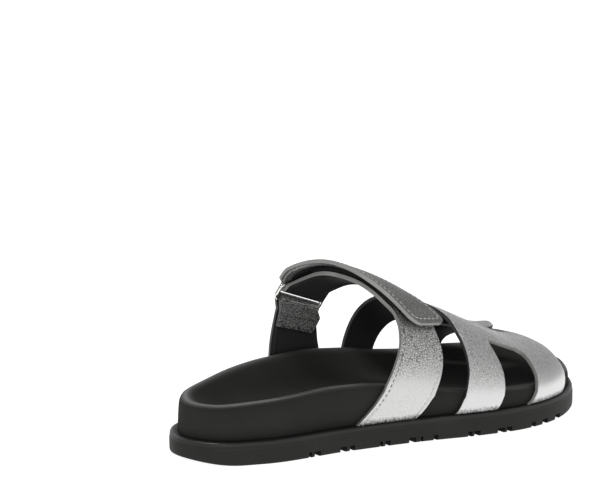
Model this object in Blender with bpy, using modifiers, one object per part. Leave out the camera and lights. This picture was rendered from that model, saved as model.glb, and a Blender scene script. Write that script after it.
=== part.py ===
"""Footbed sandal for the right foot: rubber outsole, contoured footbed, leather bands and a metal ring.

Lengths are millimetres, measured from the back of the heel (x), from the middle line towards the
medial side (y) and up from the floor (z). The finished part is centred over its own footprint.
"""

import math

import bmesh
import bpy
import numpy as np
from mathutils import Matrix

MM = 0.001

# Driving sizes
CLEARANCE = 0.3
LEDGE_WIDTH = 4.4
TOE_LEDGE = 2.2
LEDGE_HEIGHT = 12.2
LEATHER = 2.2
RING_WIRE = 1.1
RING_STRAP = 27.4
FOLD_GAP = 0.8
FOLD_RADIUS = RING_WIRE + CLEARANCE + LEATHER
BAR_OFFSET = FOLD_RADIUS + FOLD_GAP / 2
SPRING_START = 205.0
TOE_SPRING = 1.6
HEEL_BEVEL = 2.6
HEEL_BEVEL_LENGTH = 22.0
RIM_ROUNDING = 3.0
FOREFOOT_RIM = 0.5
LUG_DEPTH = 3.0
LUG_REACH = 5.0
FLAP_CORNER = 5.0
OUTLINE_POINTS = 84
DENSE_POINTS = 720

# Outline of the outsole seen from above, from the heel round the lateral side to the toe and back
OUTLINE = [
    # place, along, across
    ("heel back", 0.0, -1.0),
    ("heel lateral corner", 9.5, -23.5),
    ("heel lateral side", 32.0, -34.0),
    ("lateral waist", 82.0, -37.4),
    ("lateral midfoot", 128.0, -43.4),
    ("lateral ball rear", 163.0, -51.0),
    ("lateral ball", 188.0, -53.0),
    ("lateral toe", 222.0, -42.5),
    ("outer toe tip", 246.0, -22.5),
    ("toe tip", 261.0, 8.0),
    ("big toe", 256.0, 35.0),
    ("medial toe", 236.0, 50.0),
    ("medial ball", 205.0, 54.2),
    ("medial ball rear", 170.0, 49.3),
    ("medial waist", 128.0, 37.6),
    ("medial arch", 96.0, 33.8),
    ("heel medial side", 45.0, 36.6),
    ("heel medial corner", 12.5, 24.6),
]

# Footbed: top of the rim on each side, and the hollow that the foot stands in
FOOTBED = [
    # along, lateral rim, medial rim, hollow
    (0.0, 29.4, 29.8, 26.0),
    (25.0, 31.0, 32.2, 24.0),
    (50.0, 32.4, 36.6, 24.0),
    (75.0, 33.6, 40.6, 26.0),
    (95.0, 33.2, 42.0, 28.0),
    (120.0, 29.8, 39.6, 27.0),
    (150.0, 24.8, 33.6, 22.6),
    (180.0, 22.6, 29.0, 19.8),
    (210.0, 21.2, 27.4, 18.6),
    (225.0, 21.6, 26.2, 18.4),
    (240.0, 20.9, 25.8, 18.2),
    (262.0, 20.2, 20.2, 18.0),
]

# Last: top of the instep and toes, where the top line runs, and how square each side is
LAST = [
    # along, crest height, crest across, lateral fullness, medial fullness
    (60.0, 98.0, 8.0, 2.2, 2.2),
    (82.0, 91.0, 8.0, 2.2, 2.2),
    (104.0, 84.0, 8.0, 2.2, 2.2),
    (120.0, 79.0, 8.0, 2.2, 2.2),
    (135.0, 72.5, 7.0, 2.2, 2.2),
    (150.0, 66.0, 6.0, 2.2, 2.2),
    (165.0, 60.0, 6.0, 2.2, 2.2),
    (180.0, 53.0, 8.0, 2.2, 2.2),
    (195.0, 45.8, 8.0, 2.1, 2.2),
    (210.0, 39.8, 9.0, 2.0, 2.3),
    (225.0, 36.3, 10.0, 2.0, 2.4),
    (240.0, 30.2, 11.0, 2.1, 2.4),
    (256.0, 22.0, 12.0, 2.2, 2.4),
]

# Bands are charted on the last by girth: -1 lateral foot, 0 top line, 1 medial foot
WALL_GIRTH = 0.75

# Outsole from the middle of its underside, over its side and lip, to the middle of its top
OUTSOLE_SIDE = [
    # inset, share of the height, drop below the lip
    (16.0, 0.0, 0.0),
    (5.0, 0.0, 0.0),
    (0.9, 0.0, 0.0),
    (0.2, 0.0, -0.9),
    (0.0, 1.0, 4.0),
    (0.0, 1.0, 3.3),
    (0.28, 1.0, 3.0),
    (0.3, 1.0, 2.4),
    (0.3, 1.0, 1.5),
    (0.8, 1.0, 0.5),
    (2.0, 1.0, 0.0),
    (7.0, 1.0, 0.0),
    (16.0, 1.0, 0.0),
]

# Footbed wall and its rounded rim
FOOTBED_RIM = [
    # inset from the wall, drop below the rim
    (0.6, 7.0),
    (1.0, 3.4),
    (1.9, 1.4),
    (3.4, 0.3),
    (5.4, 0.0),
]

# Footbed from its rim down to the middle line
FOOTBED_BOWL = [
    # share of the way in, share of the hollow's depth
    (0.12, 0.14),
    (0.28, 0.42),
    (0.48, 0.74),
    (0.70, 0.94),
    (0.88, 1.00),
]

# Grooves between the lugs, cut into both edges of the underside
LUG_GROOVES = [
    # along, width
    (59.0, 2.0),
    (63.5, 3.8),
    (79.7, 3.8),
    (85.0, 3.1),
    (102.3, 1.6),
    (106.2, 3.0),
    (120.8, 4.0),
    (126.2, 1.4),
    (134.3, 2.4),
    (153.7, 2.3),
    (157.8, 3.5),
    (172.4, 4.4),
    (177.5, 3.2),
    (194.5, 3.1),
    (204.3, 4.6),
    (216.7, 5.0),
]

# Front upper: a middle band and a toe band, joined over the top of the foot
FRONT_UPPER = [
    # girth, middle rear, middle front, toe rear, toe front, lift of the middle front
    (-1.00, 146.6, 171.3, 191.8, 224.3, 0.0),
    (-0.93, 149.0, 173.1, 195.1, 227.0, 0.0),
    (-0.85, 150.6, 174.5, 197.1, 228.8, 0.0),
    (-0.78, 151.9, 175.4, 198.3, 229.2, 0.0),
    (-0.70, 154.0, 176.4, 199.6, 229.4, 0.0),
    (-0.60, 156.0, 176.6, 200.9, 229.9, 0.0),
    (-0.50, 156.7, 175.8, 201.5, 230.4, 0.0),
    (-0.43, 156.9, 175.4, 201.6, 231.2, 0.0),
    (-0.39, 157.0, 175.7, 200.8, 231.8, 0.0),
    (-0.36, 157.2, 176.4, 197.5, 232.3, 0.0),
    (-0.20, 159.0, 188.0, 204.0, 236.0, 0.0),
    (0.00, 154.6, 206.0, 226.0, 239.5, 0.6),
    (0.06, 151.9, 219.0, 231.0, 240.0, 3.2),
    (0.10, 149.9, 219.0, 230.5, 239.3, 4.2),
    (0.16, 147.1, 213.0, 224.0, 237.0, 2.8),
    (0.22, 144.6, 204.0, 212.0, 232.5, 1.0),
    (0.30, 141.9, 190.0, 198.0, 225.0, 0.2),
    (0.37, 139.8, 175.4, 192.5, 218.8, 0.0),
    (0.45, 137.5, 167.0, 189.5, 214.0, 0.0),
    (0.55, 134.8, 161.8, 186.8, 211.2, 0.0),
    (0.65, 132.1, 157.6, 184.0, 209.6, 0.0),
    (0.75, 129.4, 154.0, 181.2, 208.4, 0.0),
    (0.87, 126.4, 150.5, 178.4, 206.8, 0.0),
    (1.00, 123.5, 147.5, 176.0, 205.0, 0.0),
]
LATERAL_CUT = -0.36
MEDIAL_CUT = 0.02

# Instep strap: from its lateral foot over the instep to the ring, measured on its inner face
STRAP_LOWER = [
    # rear along, rear girth, front along, front girth, rear lift, front lift
    (89.5, -1.00, 124.2, -1.00, 0.0, 0.0),
    (95.2, -0.93, 128.6, -0.93, 0.0, 0.0),
    (99.6, -0.87, 131.2, -0.87, 0.0, 0.0),
    (103.0, -0.81, 133.3, -0.81, 0.0, 0.0),
    (106.0, -0.75, 135.4, -0.75, 0.0, 0.0),
    (110.7, -0.68, 138.5, -0.68, 0.0, 0.0),
    (115.2, -0.60, 141.0, -0.60, 0.0, 0.0),
    (117.9, -0.54, 142.0, -0.54, 0.0, 0.0),
    (119.6, -0.48, 142.4, -0.48, 0.0, 0.0),
    (120.8, -0.42, 142.5, -0.42, 0.0, 0.0),
    (121.0, -0.36, 142.6, -0.36, 0.0, 0.0),
    (118.0, -0.28, 142.4, -0.28, 0.0, 0.0),
    (115.4, -0.20, 141.0, -0.20, 0.0, 0.0),
    (113.0, -0.12, 138.0, -0.12, 0.0, 0.0),
    (109.0, -0.03, 134.0, -0.03, 0.0, 0.0),
    (103.6, 0.06, 128.5, 0.06, 0.0, 0.0),
    (100.0, 0.14, 124.0, 0.14, 0.0, 0.0),
    (96.2, 0.22, 120.5, 0.22, 0.0, 0.0),
    (91.5, 0.29, 117.0, 0.29, 0.0, 0.0),
    (87.2, 0.34, 113.5, 0.34, 0.0, 0.0),
]

# Instep strap: its flap, turned back through the ring, measured on its outer face
STRAP_FLAP = [
    # rear along, rear girth, front along, front girth, rear lift, front lift
    (83.5, 0.340, 110.5, 0.360, 7.4, 7.4),
    (85.2, 0.270, 111.5, 0.285, 7.6, 7.4),
    (89.6, 0.200, 114.0, 0.205, 7.6, 7.2),
    (94.6, 0.130, 118.0, 0.130, 7.8, 7.0),
    (99.2, 0.060, 122.0, 0.060, 8.0, 6.8),
    (102.9, -0.020, 125.5, -0.010, 8.2, 6.6),
    (106.0, -0.100, 129.2, -0.075, 8.4, 6.4),
    (109.4, -0.180, 133.2, -0.140, 8.5, 6.4),
    (114.0, -0.255, 138.6, -0.210, 8.5, 6.6),
    (120.2, -0.345, 144.2, -0.290, 8.2, 6.8),
    (127.0, -0.435, 148.0, -0.370, 7.6, 7.0),
]

# Ring tab: from its medial foot up to the ring, measured on its outer face
TAB_OUTER = [
    # rear along, rear girth, front along, front girth, rear lift, front lift
    (74.0, 1.00, 114.0, 1.00, 2.2, 2.2),
    (77.0, 0.87, 113.2, 0.87, 2.4, 2.4),
    (79.5, 0.76, 112.6, 0.76, 3.2, 3.2),
    (80.8, 0.70, 112.2, 0.70, 4.3, 4.3),
    (82.0, 0.65, 112.0, 0.65, 5.0, 5.0),
    (83.4, 0.59, 111.7, 0.61, 5.6, 5.6),
    (84.8, 0.53, 111.4, 0.56, 6.4, 6.4),
]

# Ring tab: its end turned over the ring and down inside, measured on its inner face
TAB_INNER = [
    # rear along, rear girth, front along, front girth, rear lift, front lift
    (84.8, 0.53, 111.4, 0.56, 0.1, 0.1),
    (84.2, 0.57, 109.6, 0.605, 0.2, 0.2),
    (83.4, 0.61, 106.4, 0.655, 0.2, 0.2),
]

# Ring: where its middle lies on the instep
RING_ENDS = [
    # along, girth
    (84.0, 0.41),
    (112.0, 0.465),
]


def linear(hexadecimal):
    """Linear colour of an sRGB hex value."""
    parts = [int(hexadecimal[i : i + 2], 16) / 255 for i in (0, 2, 4)]
    return [c / 12.92 if c <= 0.04045 else ((c + 0.055) / 1.055) ** 2.4 for c in parts]


def new_material(name, colour, roughness, metallic):
    material = bpy.data.materials.new(name)
    material.use_nodes = True
    shader = material.node_tree.nodes["Principled BSDF"]
    shader.inputs["Base Color"].default_value = (*linear(colour), 1.0)
    shader.inputs["Roughness"].default_value = roughness
    shader.inputs["Metallic"].default_value = metallic
    material.diffuse_color = (*linear(colour), 1.0)
    return material


def smooth(places, values, limited=True):
    """Smooth curve through a column of values. A limited one never overshoots its points."""
    places = np.asarray(places, float)
    values = np.asarray(values, float)
    rise = np.diff(values) / np.diff(places)
    slope = np.gradient(values, places)
    if limited:
        same = rise[:-1] * rise[1:] > 0
        total = np.where(same, rise[:-1] + rise[1:], 1.0)
        slope[1:-1] = np.where(same, 2 * rise[:-1] * rise[1:] / total, 0.0)

    def value(at):
        at = np.clip(at, places[0], places[-1])
        i = np.clip(np.searchsorted(places, at, "right") - 1, 0, len(places) - 2)
        step = places[i + 1] - places[i]
        t = (at - places[i]) / step
        start = (1 + 2 * t) * (1 - t) ** 2 * values[i] + t * (1 - t) ** 2 * step * slope[i]
        end = t * t * (3 - 2 * t) * values[i + 1] - t * t * (1 - t) * step * slope[i + 1]
        return start + end

    return value


def columns(table):
    """A smooth curve for each column of a table after its first."""
    numbers = np.array(table)
    return [smooth(numbers[:, 0], column) for column in numbers[:, 1:].T]


def closed_outline(count):
    """Points spaced evenly round the outline, anticlockwise seen from above."""
    points = np.array([row[1:] for row in OUTLINE])
    points = np.vstack([points[-3:], points, points[:4]])
    steps = np.hypot(*np.diff(points, axis=0).T)
    travel = np.concatenate([[0.0], np.cumsum(steps)])
    at = np.linspace(travel[3], travel[3 + len(OUTLINE)], count, endpoint=False)
    return np.column_stack([smooth(travel, column, False)(at) for column in points.T])


def inset(points, distance):
    """The outline moved inwards by this distance, which may differ from point to point."""
    along = np.roll(points, -1, axis=0) - np.roll(points, 1, axis=0)
    along /= np.hypot(*along.T)[:, None]
    return points + np.reshape(distance, (-1, 1)) * np.column_stack([-along[:, 1], along[:, 0]])


DENSE = closed_outline(DENSE_POINTS)
RING_OUTLINE = closed_outline(OUTLINE_POINTS)
CENTRE = (DENSE.min(axis=0) + DENSE.max(axis=0)) / 2
LATERAL_RIM, MEDIAL_RIM, HOLLOW = columns(FOOTBED)
CREST_HEIGHT, CREST_ACROSS, LATERAL_FULL, MEDIAL_FULL = columns(LAST)
BAND_FOOT = LEDGE_HEIGHT + CLEARANCE


def wall_lines():
    """How far across the bands stand on the lateral and on the medial wall, against the length."""
    points = inset(DENSE, LEDGE_WIDTH - CLEARANCE)
    points = np.roll(points, -points[:, 0].argmin(), axis=0)
    tip = points[:, 0].argmax()
    return points[: tip + 1], points[tip:][::-1]


LATERAL_WALL, MEDIAL_WALL = wall_lines()


def last_point(along, girth):
    """Point on the last, which is the inner face of a band."""
    wall, rim, full = LATERAL_WALL, LATERAL_RIM, LATERAL_FULL
    if girth > 0:
        wall, rim, full = MEDIAL_WALL, MEDIAL_RIM, MEDIAL_FULL
    foot = np.interp(along, wall[:, 0], wall[:, 1])
    base = rim(along) - RIM_ROUNDING
    reach = abs(girth)
    if reach > WALL_GIRTH:
        drop = (reach - WALL_GIRTH) / (1 - WALL_GIRTH)
        return np.array([along, foot, base + drop * (BAND_FOOT - base)])
    angle = math.radians(90 * reach / WALL_GIRTH)
    power = 2 / full(along)
    sideways = (foot - CREST_ACROSS(along)) * math.sin(angle) ** power
    upwards = (CREST_HEIGHT(along) - base) * max(math.cos(angle), 0.0) ** power
    return np.array([along, CREST_ACROSS(along) + sideways, base + upwards])


def unit(vector):
    return vector / np.linalg.norm(vector)


def lifted_point(along, girth, lift):
    """Point this far outside the last."""
    start = last_point(along, girth)
    if lift == 0:
        return start
    forward = last_point(along + 1, girth) - last_point(along - 1, girth)
    round_foot = last_point(along, min(girth + 0.02, 1)) - last_point(along, max(girth - 0.02, -1))
    return start + lift * unit(np.cross(forward, round_foot))


def place(points):
    """Points in metres, centred over the footprint."""
    return (np.asarray(points) - [*CENTRE, 0.0]) * MM


def add_object(name, mesh, collection, material=None):
    data = bpy.data.meshes.new(name)
    mesh.to_mesh(data)
    mesh.free()
    added = bpy.data.objects.new(name, data)
    collection.objects.link(added)
    if material:
        data.materials.append(material)
    return added


def loft(rings):
    """Closed solid through rings that hold the same number of points."""
    mesh = bmesh.new()
    loops = [[mesh.verts.new(point) for point in place(ring)] for ring in rings]
    for lower, upper in zip(loops, loops[1:]):
        for i in range(len(lower)):
            j = (i + 1) % len(lower)
            mesh.faces.new((lower[i], lower[j], upper[j], upper[i]))
    for loop in (loops[0], loops[-1]):
        edges = [mesh.edges.get((loop[i - 1], loop[i])) for i in range(len(loop))]
        bmesh.ops.triangle_fill(mesh, edges=edges, use_beauty=True)
    bmesh.ops.recalc_face_normals(mesh, faces=mesh.faces)
    return mesh


def underside(along):
    """Height of the tread: flat, bevelled up behind the heel and sprung up under the toes."""
    heel = np.clip(1 - along / HEEL_BEVEL_LENGTH, 0, 1)
    toe = np.clip((along - SPRING_START) / (RING_OUTLINE[:, 0].max() - SPRING_START), 0, 1)
    return HEEL_BEVEL * heel**1.8 + TOE_SPRING * toe**2


def make_outsole(collection, cutters, material):
    rings = []
    for distance, share, drop in OUTSOLE_SIDE:
        flat = inset(RING_OUTLINE, distance)
        low = underside(flat[:, 0])
        height = low + share * (LEDGE_HEIGHT - low) - drop
        rings.append(np.column_stack([flat, height]))
    outsole = add_object("outsole", loft(rings), collection, material)
    mesh = bmesh.new()
    for along, width in LUG_GROOVES:
        for wall, side in ((LATERAL_WALL, -1), (MEDIAL_WALL, 1)):
            edge = np.interp(along, wall[:, 0], wall[:, 1])
            middle = place([along, edge + side * (20 - LUG_REACH) / 2, LUG_DEPTH / 2 - 1])
            size = [width * MM, (20 + LUG_REACH) * MM, (LUG_DEPTH + 2) * MM]
            placed = Matrix.Translation(middle) @ Matrix.Diagonal((*size, 1.0))
            bmesh.ops.create_cube(mesh, size=1.0, matrix=placed)
    grooves = add_object("lug_grooves", mesh, cutters)
    grooves.hide_render = True
    grooves.display_type = "WIRE"
    cut = outsole.modifiers.new("Lug grooves", "BOOLEAN")
    cut.operation = "DIFFERENCE"
    cut.solver = "EXACT"
    cut.object = grooves


def make_footbed(collection, material):
    ledge = np.interp(RING_OUTLINE[:, 0], [231.0, 246.0], [LEDGE_WIDTH, TOE_LEDGE])
    outline = inset(RING_OUTLINE, ledge)
    medial = np.clip((outline[:, 1] + 9) / 18, 0, 1)
    medial = medial * medial * (3 - 2 * medial)
    lateral_rim, medial_rim = LATERAL_RIM(outline[:, 0]), MEDIAL_RIM(outline[:, 0])
    rim = lateral_rim + medial * (medial_rim - lateral_rim)
    rings = [np.column_stack([inset(outline, 12.0), np.full(len(rim), BAND_FOOT)])]
    rings.append(np.column_stack([outline, np.full(len(rim), BAND_FOOT)]))
    softness = np.interp(outline[:, 0], [110.0, 190.0], [1.0, FOREFOOT_RIM])
    for distance, drop in FOOTBED_RIM:
        rings.append(np.column_stack([inset(outline, distance * softness), rim - drop]))
    edge = rings[-1]
    spine = edge.copy()
    spine[:, 0] = np.clip(edge[:, 0], 36.0, 212.0)
    spine[:, 1] = np.interp(spine[:, 0], [36.0, 110.0, 212.0], [1.0, -1.0, 4.0])
    for share, depth in FOOTBED_BOWL:
        ring = edge + share * (spine - edge)
        ring[:, 2] = rim + depth * (HOLLOW(ring[:, 0]) - rim)
        rings.append(ring)
    add_object("footbed", loft(rings), collection, material)


def sheet(name, points, collection, material, kept=None):
    """Leather laid over rows of points. Its thickness is added on the grid's outer side."""
    rows, across = points.shape[:2]
    mesh = bmesh.new()
    bmesh.ops.create_grid(mesh, x_segments=across - 1, y_segments=rows - 1, size=1.0)
    cell = {}
    for vertex in mesh.verts:
        column = round((vertex.co.x + 1) / 2 * (across - 1))
        row = round((vertex.co.y + 1) / 2 * (rows - 1))
        cell[vertex] = (row, column)
        vertex.co = place(points[row, column])
    if kept:
        dropped = []
        for face in mesh.faces:
            corner = [min(cell[vertex][k] for vertex in face.verts) for k in (0, 1)]
            if not kept(*corner):
                dropped.append(face)
        bmesh.ops.delete(mesh, geom=dropped, context="FACES")
    leather = add_object(name, mesh, collection, material)
    thick = leather.modifiers.new("Leather", "SOLIDIFY")
    thick.thickness = LEATHER * MM
    thick.offset = 1.0
    thick.use_even_offset = True
    return leather


def band_rows(table, count, across, corner=0.0):
    """Rows of points over the last for a strap whose edges a table gives."""
    table = np.array(table)
    curves = columns(np.column_stack([np.linspace(0, 1, len(table)), table]))
    run = np.linspace(0, 1, count)
    if corner:
        ends = [lifted_point(*[float(curves[k](t)) for k in (0, 1, 4)]) for t in run]
        length = np.linalg.norm(np.diff(ends, axis=0), axis=1).sum()
        close = corner * np.array([1.0, 0.62, 0.3, 0.1, 0.0])
        run = np.concatenate([np.linspace(0, 1 - close[0] / length, count)[:-1], 1 - close / length])
    rows = []
    for t in run:
        values = [float(curve(t)) for curve in curves]
        rear, front = np.array(values[0:2] + values[4:5]), np.array(values[2:4] + values[5:6])
        margin = 0.0
        if corner:
            left = max(corner - (1 - t) * length, 0.0)
            margin = (corner - math.sqrt(corner**2 - left**2)) / (front[0] - rear[0])
        shares = np.linspace(margin, 1 - margin, across)
        rows.append([lifted_point(*(rear + share * (front - rear))) for share in shares])
    return np.array(rows)


def ring_frame():
    """Middle of the ring, with its directions along it, down the instep and outwards."""
    rear, front = [last_point(*end) for end in RING_ENDS]
    along = unit(front - rear)
    girth = sum(end[1] for end in RING_ENDS) / 2
    middle = sum(end[0] for end in RING_ENDS) / 2
    down = last_point(middle, girth + 0.05) - last_point(middle, girth - 0.05)
    down = unit(down - along * down.dot(along))
    outward = np.cross(along, down)
    return (rear + front) / 2 + outward * FOLD_RADIUS, along, down, outward


def fold_rows(bar, start, turn, along, across, steps=7):
    """Rows round a bar of the ring, from the start direction through the turn to the far side."""
    rows = []
    for angle in np.linspace(0, math.pi, steps):
        arm = FOLD_RADIUS * (math.cos(angle) * start + math.sin(angle) * turn)
        places = np.linspace(-RING_STRAP / 2, RING_STRAP / 2, across)
        rows.append([bar + arm + along * s for s in places])
    return np.array(rows)


def make_front_upper(collection, material):
    lines = columns(FRONT_UPPER)
    lateral = np.linspace(-1, LATERAL_CUT, 19)
    bridge = np.linspace(LATERAL_CUT, MEDIAL_CUT, 11)[1:]
    medial = np.linspace(MEDIAL_CUT, 1, 25)[1:]
    girths = np.concatenate([lateral, bridge, medial])
    shares = np.concatenate([np.linspace(0, 1, 5), np.linspace(1, 2, 4)[1:], np.linspace(2, 3, 5)[1:]])
    points = []
    for girth in girths:
        *edges, lift = [float(line(girth)) for line in lines]
        row = []
        for share in shares:
            curl = max(1 - abs(share - 1) / 0.8, 0.0) ** 2
            row.append(lifted_point(np.interp(share, range(4), edges), girth, lift * curl))
        points.append(row)

    def kept(row, column):
        middle = (girths[row] + girths[row + 1]) / 2
        between = 1 < (shares[column] + shares[column + 1]) / 2 < 2
        return not between or LATERAL_CUT < middle < MEDIAL_CUT

    sheet("front_upper", np.array(points), collection, material, kept)


def make_instep_strap(collection, material):
    middle, along, down, outward = ring_frame()
    lower = band_rows(STRAP_LOWER, 30, 6)
    fold = fold_rows(middle - BAR_OFFSET * down, -outward, down, along, 6)
    flap = band_rows(STRAP_FLAP, 22, 6, FLAP_CORNER)
    sheet("instep_strap", np.concatenate([lower, fold, flap]), collection, material)


def make_ring_tab(collection, material):
    middle, along, down, outward = ring_frame()
    outer = band_rows(TAB_OUTER, 16, 6)
    fold = fold_rows(middle + BAR_OFFSET * down, outward, -down, along, 6)
    inner = band_rows(TAB_INNER, 6, 6)
    sheet("ring_tab", np.concatenate([outer, fold, inner]), collection, material)


def make_ring(collection, material):
    middle, along, down, _ = ring_frame()
    half_length = RING_STRAP / 2 + 2 * CLEARANCE + RING_WIRE
    corner = BAR_OFFSET * 0.55
    curve = bpy.data.curves.new("ring_path", "CURVE")
    curve.dimensions = "3D"
    curve.bevel_depth = RING_WIRE * MM
    curve.bevel_resolution = 3
    path = curve.splines.new("POLY")
    points = []
    for side_along, side_down in ((1, 1), (1, -1), (-1, -1), (-1, 1)):
        hub = middle + along * side_along * (half_length - corner) + down * side_down * (BAR_OFFSET - corner)
        sweep = np.linspace(0, math.pi / 2, 6)
        if side_along != side_down:
            first, second = along * side_along, down * side_down
        else:
            first, second = down * side_down, along * side_along
        points += [hub + corner * (math.cos(a) * first + math.sin(a) * second) for a in sweep]
    path.points.add(len(points) - 1)
    for target, point in zip(path.points, place(points)):
        target.co = (*point, 1.0)
    path.use_cyclic_u = True
    ring = bpy.data.objects.new("ring", curve)
    curve.materials.append(material)
    collection.objects.link(ring)


def main():
    for old in list(bpy.data.objects):
        bpy.data.objects.remove(old, do_unlink=True)
    sandal = bpy.data.collections.new("footbed_sandal")
    cutters = bpy.data.collections.new("cutters")
    bpy.context.scene.collection.children.link(sandal)
    bpy.context.scene.collection.children.link(cutters)
    make_outsole(sandal, cutters, new_material("rubber", "333331", 0.72, 0.0))
    make_footbed(sandal, new_material("footbed_cover", "262625", 0.9, 0.0))
    make_front_upper(sandal, new_material("front_leather", "b4b4b2", 0.42, 0.55))
    make_instep_strap(sandal, new_material("strap_leather", "a6a6a4", 0.42, 0.55))
    make_ring_tab(sandal, new_material("tab_leather", "9c9c9a", 0.42, 0.55))
    make_ring(sandal, new_material("ring_metal", "d8d8d6", 0.16, 1.0))


main()
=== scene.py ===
# %% [markdown]
# # A footbed sandal
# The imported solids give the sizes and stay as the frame. This lesson dresses them: a smooth rubber
# outsole, a covered footbed, silver leather bands with black lining and painted edges, rows of stitches,
# tape pads between the strap's layers, and a polished ring. Each piece sits where its solid is.

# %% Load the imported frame
import math
from functools import partial

import bmesh
import bpy
import numpy as np
from mathutils import Matrix, Vector


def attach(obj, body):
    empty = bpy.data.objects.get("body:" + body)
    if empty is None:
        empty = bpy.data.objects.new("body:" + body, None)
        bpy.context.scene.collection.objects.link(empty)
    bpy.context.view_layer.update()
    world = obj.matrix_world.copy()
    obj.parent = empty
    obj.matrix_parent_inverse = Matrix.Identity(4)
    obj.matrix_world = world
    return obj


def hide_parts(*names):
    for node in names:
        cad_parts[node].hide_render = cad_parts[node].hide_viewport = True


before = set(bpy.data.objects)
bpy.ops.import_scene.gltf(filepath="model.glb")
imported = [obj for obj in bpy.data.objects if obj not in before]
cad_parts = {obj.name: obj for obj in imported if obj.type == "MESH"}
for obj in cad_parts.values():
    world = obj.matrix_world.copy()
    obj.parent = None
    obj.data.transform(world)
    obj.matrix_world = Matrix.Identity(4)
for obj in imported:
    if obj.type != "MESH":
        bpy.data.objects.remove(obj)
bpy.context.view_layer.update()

MM = 0.001
print("solids:", ", ".join(sorted(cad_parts)))

# %% [markdown]
# ## Camera
# A long lens, placed low behind the heel on the lateral side, shows the sandal as the photograph does.
# The camera is turned, not shifted, to put the sandal right of the middle, so that other views stay true.

# %% Camera
def new_object(name, data):
    """Puts an object with this data into the scene."""
    thing = bpy.data.objects.new(name, data)
    bpy.context.scene.collection.objects.link(thing)
    return thing


SENSOR_MM = 36.0
YAW = math.radians(36.0)
PITCH = math.radians(13.0)
CAMERA_DISTANCE = 1.6
FOCAL_PIXELS = 2958.2
AIM_POINT = Vector((0.0004, -0.0005, 0.020))
AIM_PIXEL = (381.5, 389.1)
PICTURE = (600, 480)

camera_back = Vector((-math.sin(YAW) * math.cos(PITCH), -math.cos(YAW) * math.cos(PITCH), math.sin(PITCH)))
camera_right = Vector((math.cos(YAW), -math.sin(YAW), 0.0))
camera_up = camera_back.cross(camera_right)
straight = Matrix((camera_right, camera_up, camera_back)).transposed()
across_pixels = AIM_PIXEL[0] - PICTURE[0] / 2
down_pixels = AIM_PIXEL[1] - PICTURE[1] / 2
aim_ray = Vector((across_pixels, -down_pixels, -FOCAL_PIXELS)).normalized()
turned = straight @ aim_ray.rotation_difference(Vector((0.0, 0.0, -1.0))).to_matrix()

camera_data = bpy.data.cameras.new("camera")
camera_data.sensor_width = SENSOR_MM
camera_data.lens = SENSOR_MM * FOCAL_PIXELS / PICTURE[0]
camera = new_object("camera", camera_data)
camera.matrix_world = Matrix.Translation(AIM_POINT + CAMERA_DISTANCE * camera_back) @ turned.to_4x4()
bpy.context.scene.camera = camera
print("lens mm:", round(camera_data.lens, 1))

# %% [markdown]
# ## Floor and light
# A pale light table runs far behind the sandal, lit a little from below so that it stays white. The silver
# leather is nearly a mirror at this scale, so its tones are the tones of the studio: upright leather mirrors
# the white table, and a dimmer ceiling leaves the tops of the bands grey.

# %% Colour and node helpers
def srgb(code):
    """Linear colour with alpha from an sRGB hex code."""
    parts = [int(code[i : i + 2], 16) / 255 for i in (0, 2, 4)]
    return (*[c / 12.92 if c <= 0.04045 else ((c + 0.055) / 1.055) ** 2.4 for c in parts], 1.0)


def add_node(owner, kind, settings=None, sockets=None, links=None):
    """Adds a node, sets its options and sockets, and links its inputs."""
    node = owner.node_tree.nodes.new(kind)
    for name, value in (settings or {}).items():
        setattr(node, name, value)
    for name, value in (sockets or {}).items():
        node.inputs[name].default_value = value
    for name, source in (links or {}).items():
        owner.node_tree.links.new(source, node.inputs[name])
    return node


def new_material(name, sockets):
    """A material with nodes, and its shader with these sockets set."""
    material = bpy.data.materials.new(name)
    material.use_nodes = True
    shader = material.node_tree.nodes["Principled BSDF"]
    for socket, value in sockets.items():
        shader.inputs[socket].default_value = value
    return material, shader


def cloud(material, per_metre, detail=2.0):
    """Output of a soft noise that is fixed to the object, with this many patches to the metre."""
    spot = {"Vector": add_node(material, "ShaderNodeTexCoord").outputs["Object"]}
    size = {"Scale": per_metre, "Detail": detail}
    return add_node(material, "ShaderNodeTexNoise", sockets=size, links=spot).outputs["Fac"]


COLOUR = {"data_type": "RGBA"}


def two_tones(material, shader, low, high, pattern):
    """Colours the shader from one tone to another as the pattern goes from 0 to 1."""
    tones = {"A": srgb(low), "B": srgb(high)}
    tone = add_node(material, "ShaderNodeMix", COLOUR, tones, {"Factor": pattern})
    material.node_tree.links.new(tone.outputs["Result"], shader.inputs["Base Color"])


print("middle grey, linear:", round(srgb("808080")[0], 3))


# %% Floor
FLOOR_HALF = 12.0
TABLE_GLOW = 0.95


def mesh_object(name, mesh, materials):
    """Turns a bmesh into an object with these materials."""
    data = bpy.data.meshes.new(name)
    mesh.to_mesh(data)
    mesh.free()
    for material in materials:
        data.materials.append(material)
    return new_object(name, data)


def make_floor():
    """Frosted table top: it scatters light evenly, so that no lamp shows in it."""
    frosted = {"Roughness": 0.9, "Specular IOR Level": 0.1}
    lit = {"Emission Color": srgb("ffffff"), "Emission Strength": TABLE_GLOW}
    material, shader = new_material("white_light_table", {**frosted, **lit})
    # Patches of about 330 mm
    two_tones(material, shader, "a8a8a8", "b0b0b0", cloud(material, 3.0))
    mesh = bmesh.new()
    bmesh.ops.create_grid(mesh, x_segments=4, y_segments=4, size=FLOOR_HALF)
    floor = mesh_object("floor", mesh, [material])
    return floor


floor = make_floor()
print("floor:", floor.name)

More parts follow.
